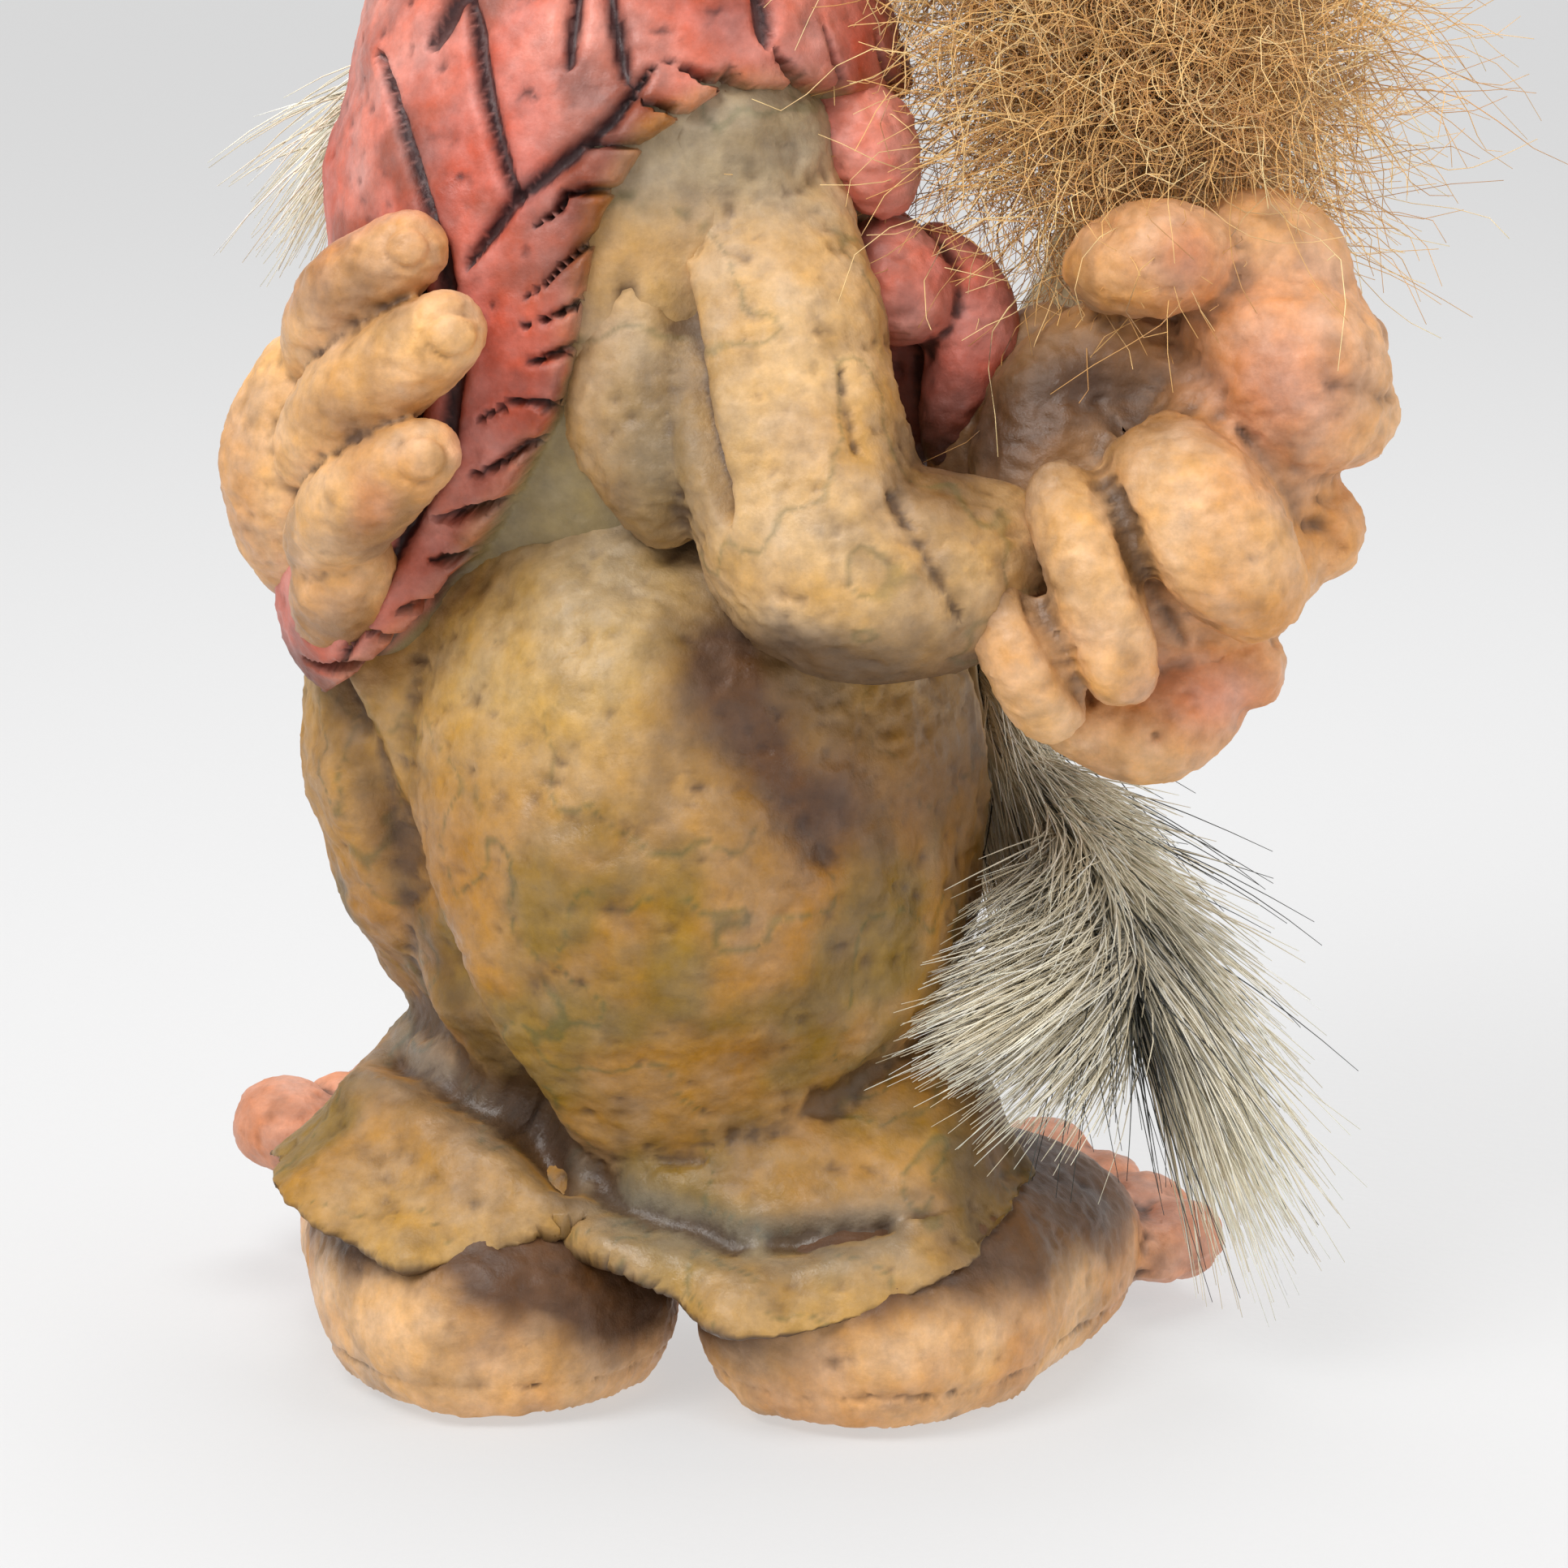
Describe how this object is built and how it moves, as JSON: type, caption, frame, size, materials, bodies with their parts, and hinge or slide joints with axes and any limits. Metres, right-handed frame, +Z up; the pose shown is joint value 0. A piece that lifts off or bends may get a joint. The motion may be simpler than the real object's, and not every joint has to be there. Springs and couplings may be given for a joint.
{
  "type": "tomte_gnome_figurine",
  "caption": "Hunched woodland gnome figurine in painted cast rubber: baggy trousers, ragged red waistcoat, raised fist, wool hair and a long grey fur beard.",
  "frame": {"origin": "on the surface the figure stands on, under the middle of its bounding box", "axes": "+Z up through the head, -Y the way the figure's chest looks, +X to its left"},
  "size_m": [0.1014, 0.0908, 0.1624],
  "materials": {
    "trousers_paint": "ochre and olive paint over cast rubber, satin with glossy patches",
    "waistcoat_paint": "faded red paint over cast rubber, satin",
    "sleeve_paint": "cream paint over cast rubber, matt",
    "skin_paint": "flesh paint over cast rubber, satin",
    "wool": "golden frizzy wool",
    "fur": "grey white fur with dark guard hairs",
    "hide": "pale tanned hide",
    "eye_glass": "polished dark eyes",
    "felt": "dark felt",
    "dowel_wood": "plain birch",
    "foam": "cream foam"
  },
  "bodies": {
    "root": {"right_ankle_dowel": "dowel_wood", "left_ankle_dowel": "dowel_wood", "neck_dowel": "dowel_wood", "right_wrist_dowel": "dowel_wood", "left_wrist_dowel": "dowel_wood", "foam_core": "foam", "right_foot": "skin_paint", "left_foot": "skin_paint", "trousers_casting": "trousers_paint", "right_foot_pad": "felt", "left_foot_pad": "felt", "torso_casting": "sleeve_paint", "right_sleeve": "sleeve_paint", "left_sleeve": "sleeve_paint", "right_fist": "skin_paint", "left_hand": "skin_paint", "waistcoat": "waistcoat_paint", "right_chest_tassel": "waistcoat_paint", "right_side_tassel": "waistcoat_paint", "right_eye": "eye_glass", "left_eye": "eye_glass", "head_casting": "skin_paint", "right_ear": "skin_paint", "left_ear": "skin_paint", "right_brow": "wool", "left_brow": "wool", "hair_crown": "wool", "hair_nape": "wool", "hair_right": "wool", "hair_left": "wool", "beard_hide": "hide", "beard_upper": "fur", "beard_lower": "fur", "beard_tip": "fur", "beard_left_lock": "fur"}
  },
  "joints": []
}
